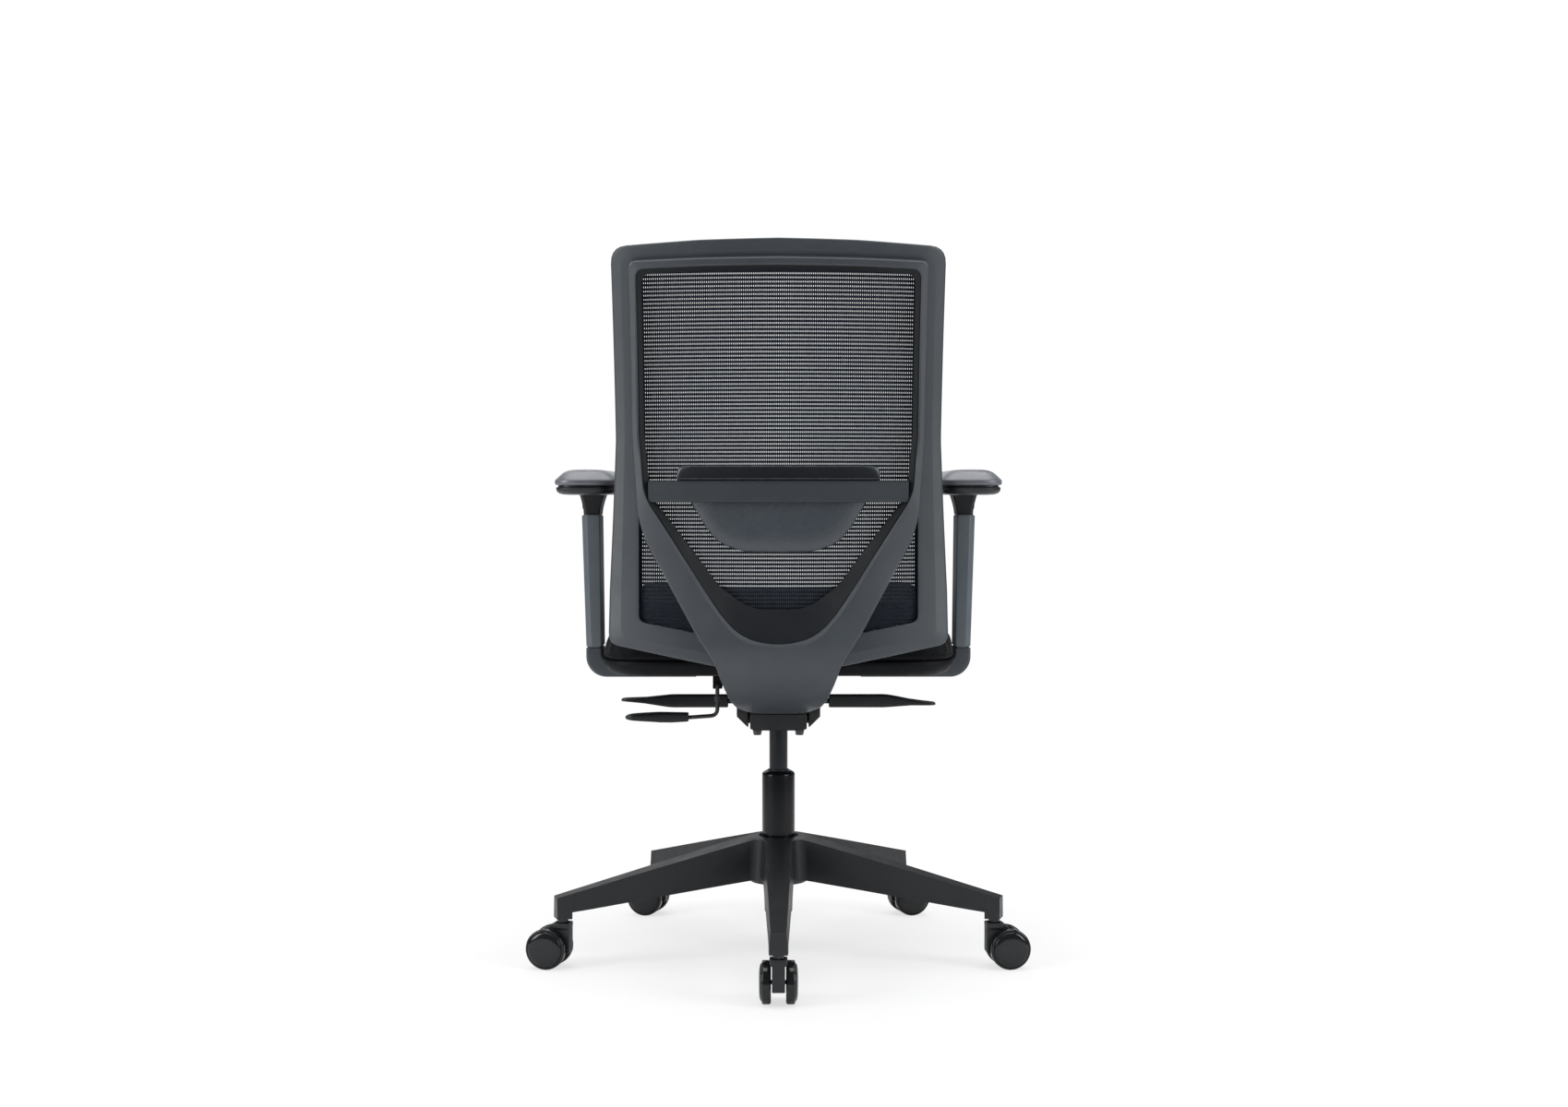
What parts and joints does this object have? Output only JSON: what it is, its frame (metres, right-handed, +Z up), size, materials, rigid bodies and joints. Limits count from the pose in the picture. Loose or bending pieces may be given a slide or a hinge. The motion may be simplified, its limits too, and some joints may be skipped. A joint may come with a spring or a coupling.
{
  "type": "swivel office chair",
  "caption": "Swivel office chair with a mesh back on a Y-shaped spine, padded seat, height-adjustable arms, gas lift and a star base on twin-wheel casters.",
  "frame": {"origin": "on the floor, under the axis of the column", "axes": "+Z up, the sitter faces -Y, the sitter's left hand is at +X"},
  "size_m": [0.746, 0.6577, 1.056],
  "materials": {
    "base_nylon": "fine-textured glass-filled nylon",
    "column_black": "semi-gloss black powder coat",
    "bush_plastic": "smooth black acetal",
    "steel": "zinc-plated steel",
    "black_steel": "black-coated steel",
    "mechanism_casting": "black-painted die casting",
    "control_plastic": "satin black moulding",
    "black_plastic": "textured black moulding",
    "frame_plastic": "fine-textured dark grey moulding",
    "lumbar_plastic": "smooth satin grey moulding",
    "pad_soft": "soft-touch polyurethane skin",
    "seat_fabric": "black woven upholstery over foam",
    "mesh_fabric": "black elastic knitted mesh",
    "wheel_gloss": "gloss black rim with a satin cap"
  },
  "bodies": {
    "base": {"base_star": "base_nylon", "gas_outer_tube": "column_black", "guide_bush": "bush_plastic", "thrust_bearing": "steel"},
    "piston": {"piston_rod": "steel"},
    "mechanism": {"gas_cylinder": "column_black", "mechanism_housing": "mechanism_casting", "tilt_spring": "steel", "pivot_pins": "steel"},
    "tension_knob": {"tension_knob": "control_plastic"},
    "valve": {"valve_pin": "steel"},
    "height_lever": {"height_lever_rod": "black_steel", "height_lever_blade": "control_plastic"},
    "tilt_lever": {"tilt_lever_rod": "black_steel", "tilt_lever_blade": "control_plastic"},
    "seat_carrier": {"seat_tilt_plate": "steel"},
    "seat": {"seat_shell": "black_plastic", "seat_cushion": "seat_fabric", "seat_screws": "steel", "arm_bracket_left": "frame_plastic", "arm_bracket_right": "frame_plastic", "arm_sleeve_left": "frame_plastic", "arm_sleeve_right": "frame_plastic"},
    "slide_lever": {"slide_lever_wire": "black_steel", "slide_lever_paddle": "control_plastic"},
    "back": {"back_bracket": "mechanism_casting", "back_bolts": "black_steel", "back_spine": "frame_plastic", "mesh_frame": "frame_plastic", "back_mesh": "mesh_fabric"},
    "lumbar": {"lumbar_pad": "lumbar_plastic"},
    "arm_left": {"arm_stem_left": "black_plastic", "arm_pad_base_left": "black_plastic", "arm_pad_left": "pad_soft"},
    "button_left": {"arm_button_left": "control_plastic"},
    "arm_right": {"arm_stem_right": "black_plastic", "arm_pad_base_right": "black_plastic", "arm_pad_right": "pad_soft"},
    "button_right": {"arm_button_right": "control_plastic"},
    "caster_1": {"caster_body_1": "base_nylon", "caster_pins_1": "steel"},
    "wheel_left_1": {"wheel_left_1": "wheel_gloss"},
    "wheel_right_1": {"wheel_right_1": "wheel_gloss"},
    "caster_2": {"caster_body_2": "base_nylon", "caster_pins_2": "steel"},
    "wheel_left_2": {"wheel_left_2": "wheel_gloss"},
    "wheel_right_2": {"wheel_right_2": "wheel_gloss"},
    "caster_3": {"caster_body_3": "base_nylon", "caster_pins_3": "steel"},
    "wheel_left_3": {"wheel_left_3": "wheel_gloss"},
    "wheel_right_3": {"wheel_right_3": "wheel_gloss"},
    "caster_4": {"caster_body_4": "base_nylon", "caster_pins_4": "steel"},
    "wheel_left_4": {"wheel_left_4": "wheel_gloss"},
    "wheel_right_4": {"wheel_right_4": "wheel_gloss"},
    "caster_5": {"caster_body_5": "base_nylon", "caster_pins_5": "steel"},
    "wheel_left_5": {"wheel_left_5": "wheel_gloss"},
    "wheel_right_5": {"wheel_right_5": "wheel_gloss"}
  },
  "joints": [
    {"name": "seat_swivel", "type": "hinge", "parent": "base", "child": "piston", "pos_m": [0, 0, 0.07], "axis": [0, 0, 1], "continuous": true},
    {"name": "seat_height", "type": "slide", "parent": "piston", "child": "mechanism", "axis": [0, 0, 1], "range_m": [-0.05, 0.05]},
    {"name": "back_recline", "type": "hinge", "parent": "mechanism", "child": "back", "pos_m": [0, 0.05, 0.385], "axis": [-1, 0, 0], "range_deg": [0, 20], "stiffness_Nm_per_rad": 90, "springref_deg": -25.78},
    {"name": "seat_tilt", "type": "hinge", "parent": "mechanism", "child": "seat_carrier", "pos_m": [0, -0.08, 0.401], "axis": [-1, 0, 0], "range_deg": [0, 7.2]},
    {"name": "seat_depth", "type": "slide", "parent": "seat_carrier", "child": "seat", "axis": [0, -1, 0], "range_m": [0, 0.05]},
    {"name": "height_lever_lift", "type": "hinge", "parent": "mechanism", "child": "height_lever", "pos_m": [-0.03, 0, 0.386], "axis": [0, 1, 0], "range_deg": [0, 5], "stiffness_Nm_per_rad": 4, "springref_deg": -5.73},
    {"name": "valve_press", "type": "slide", "parent": "mechanism", "child": "valve", "axis": [0, 0, -1], "range_m": [0, 0.0032]},
    {"name": "tilt_lever_lift", "type": "hinge", "parent": "mechanism", "child": "tilt_lever", "pos_m": [0.03, 0, 0.386], "axis": [0, -1, 0], "range_deg": [0, 3.5]},
    {"name": "tension_turn", "type": "hinge", "parent": "mechanism", "child": "tension_knob", "pos_m": [0, -0.075, 0.35], "axis": [0, 0, 1], "range_deg": [-360, 360]},
    {"name": "slide_lever_lift", "type": "hinge", "parent": "seat", "child": "slide_lever", "pos_m": [0.091, 0.08, 0.416], "axis": [0, -1, 0], "range_deg": [0, 8], "stiffness_Nm_per_rad": 1.5, "springref_deg": -8.59},
    {"name": "arm_height_left", "type": "slide", "parent": "seat", "child": "arm_left", "axis": [0, 0, 1], "range_m": [0, 0.07]},
    {"name": "arm_button_press_left", "type": "slide", "parent": "arm_left", "child": "button_left", "axis": [-1, 0, 0], "range_m": [0, 0.0025], "stiffness_N_per_m": 600, "springref_m": -0.002},
    {"name": "arm_height_right", "type": "slide", "parent": "seat", "child": "arm_right", "axis": [0, 0, 1], "range_m": [0, 0.07]},
    {"name": "arm_button_press_right", "type": "slide", "parent": "arm_right", "child": "button_right", "axis": [1, 0, 0], "range_m": [0, 0.0025], "stiffness_N_per_m": 600, "springref_m": -0.002},
    {"name": "lumbar_height", "type": "slide", "parent": "back", "child": "lumbar", "axis": [0, 0.046, 0.9989], "range_m": [-0.02, 0.02]},
    {"name": "caster_swivel_1", "type": "hinge", "parent": "base", "child": "caster_1", "pos_m": [0, 0.335, 0.07], "axis": [0, 0, 1], "continuous": true},
    {"name": "wheel_spin_left_1", "type": "hinge", "parent": "caster_1", "child": "wheel_left_1", "pos_m": [0, 0.314, 0.03], "axis": [1, 0, 0], "continuous": true},
    {"name": "wheel_spin_right_1", "type": "hinge", "parent": "caster_1", "child": "wheel_right_1", "pos_m": [0, 0.314, 0.03], "axis": [1, 0, 0], "continuous": true},
    {"name": "caster_swivel_2", "type": "hinge", "parent": "base", "child": "caster_2", "pos_m": [-0.3186, 0.10352, 0.07], "axis": [0, 0, 1], "continuous": true},
    {"name": "wheel_spin_left_2", "type": "hinge", "parent": "caster_2", "child": "wheel_left_2", "pos_m": [-0.3394, 0.1006, 0.03], "axis": [0.1392, -0.9903, 0], "continuous": true},
    {"name": "wheel_spin_right_2", "type": "hinge", "parent": "caster_2", "child": "wheel_right_2", "pos_m": [-0.3394, 0.1006, 0.03], "axis": [0.1392, -0.9903, 0], "continuous": true},
    {"name": "caster_swivel_3", "type": "hinge", "parent": "base", "child": "caster_3", "pos_m": [-0.19691, -0.27102, 0.07], "axis": [0, 0, 1], "continuous": true},
    {"name": "wheel_spin_left_3", "type": "hinge", "parent": "caster_3", "child": "wheel_left_3", "pos_m": [-0.21699, -0.27716, 0.03], "axis": [0.2924, -0.9563, 0], "continuous": true},
    {"name": "wheel_spin_right_3", "type": "hinge", "parent": "caster_3", "child": "wheel_right_3", "pos_m": [-0.21699, -0.27716, 0.03], "axis": [0.2924, -0.9563, 0], "continuous": true},
    {"name": "caster_swivel_4", "type": "hinge", "parent": "base", "child": "caster_4", "pos_m": [0.19691, -0.27102, 0.07], "axis": [0, 0, 1], "continuous": true},
    {"name": "wheel_spin_left_4", "type": "hinge", "parent": "caster_4", "child": "wheel_left_4", "pos_m": [0.21699, -0.27716, 0.03], "axis": [0.2924, 0.9563, 0], "continuous": true},
    {"name": "wheel_spin_right_4", "type": "hinge", "parent": "caster_4", "child": "wheel_right_4", "pos_m": [0.21699, -0.27716, 0.03], "axis": [0.2924, 0.9563, 0], "continuous": true},
    {"name": "caster_swivel_5", "type": "hinge", "parent": "base", "child": "caster_5", "pos_m": [0.3186, 0.10352, 0.07], "axis": [0, 0, 1], "continuous": true},
    {"name": "wheel_spin_left_5", "type": "hinge", "parent": "caster_5", "child": "wheel_left_5", "pos_m": [0.33907, 0.0988, 0.03], "axis": [0.225, 0.9744, 0], "continuous": true},
    {"name": "wheel_spin_right_5", "type": "hinge", "parent": "caster_5", "child": "wheel_right_5", "pos_m": [0.33907, 0.0988, 0.03], "axis": [0.225, 0.9744, 0], "continuous": true}
  ],
  "couplings": [
    {"joint": "seat_tilt", "follows": "back_recline", "ratio": 0.35},
    {"joint": "valve_press", "follows": "height_lever_lift", "m_per_rad": 0.034}
  ]
}
